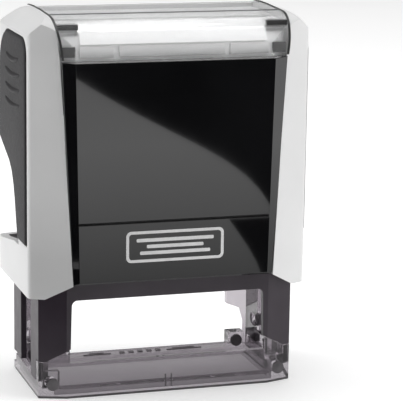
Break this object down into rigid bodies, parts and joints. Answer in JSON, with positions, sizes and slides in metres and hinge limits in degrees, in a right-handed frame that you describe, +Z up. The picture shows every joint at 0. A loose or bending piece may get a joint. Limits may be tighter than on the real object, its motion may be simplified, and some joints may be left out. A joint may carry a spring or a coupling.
{
  "type": "self inking stamp",
  "caption": "Upright self-inking hand stamp: sprung cap over a slotted frame and clear foot, flipping text plate, slide-out ink cartridge and lift-off index window.",
  "frame": {"origin": "middle of the foot, on the surface being stamped", "axes": "+Z up along the cap's travel, -Y to the front (the side with the glossy panel), +X along the stamp's width"},
  "size_m": [0.05, 0.0288, 0.0656],
  "materials": {
    "cap_white": "satin",
    "panel_black": "gloss",
    "window_clear": "clear moulded plastic",
    "card": "uncoated card",
    "inner_grey": "satin",
    "button_grey": "satin",
    "grip_grey": "fine matt grain",
    "frame_dark": "satin",
    "base_smoke": "smoke-tinted clear plastic",
    "pin_dark": "matt",
    "spring_steel": "zinc plated",
    "cartridge_grey": "satin",
    "felt_blue": "ink-soaked felt",
    "axle_steel": "ground",
    "foam": "closed-cell foam",
    "die_rubber": "engraved rubber"
  },
  "bodies": {
    "frame": {"lower_frame": "frame_dark", "spring_deck": "frame_dark", "clear_base": "base_smoke", "cam_plate_left": "base_smoke", "cam_plate_right": "base_smoke", "base_pins": "pin_dark", "return_spring_left": "spring_steel", "return_spring_right": "spring_steel"},
    "cartridge": {"ink_cartridge": "cartridge_grey", "ink_pad": "felt_blue"},
    "cap": {"cap_shell": "cap_white", "front_panel": "panel_black", "cap_bridge": "inner_grey", "grip_left": "grip_grey", "grip_right": "grip_grey"},
    "window": {"index_window": "window_clear", "index_card": "card"},
    "carrier": {"plate_carrier": "inner_grey", "carrier_axle": "axle_steel", "cam_pins": "axle_steel", "cushion_foam": "foam", "text_plate": "die_rubber"},
    "lock": {"lock_button": "button_grey"}
  },
  "joints": [
    {"name": "cap_press", "type": "slide", "parent": "frame", "child": "cap", "axis": [0, 0, -1], "range_m": [0, 0.012], "stiffness_N_per_m": 800, "springref_m": -0.004, "deforming": ["return_spring_left", "return_spring_right"]},
    {"name": "carrier_flip", "type": "hinge", "parent": "cap", "child": "carrier", "pos_m": [0, 0, 0.0196], "axis": [1, 0, 0], "range_deg": [0, 180]},
    {"name": "window_lift", "type": "slide", "parent": "cap", "child": "window", "axis": [0, 0, 1], "range_m": [0, 0.01]},
    {"name": "ink_pull", "type": "slide", "parent": "frame", "child": "cartridge", "axis": [0, 1, 0], "range_m": [0, 0.026]},
    {"name": "lock_press", "type": "slide", "parent": "cap", "child": "lock", "axis": [0, -1, 0], "range_m": [0, 0.0012], "stiffness_N_per_m": 400, "springref_m": -0.001}
  ],
  "couplings": [
    {"joint": "carrier_flip", "follows": "cap_press", "rad_per_m": 261.8}
  ]
}
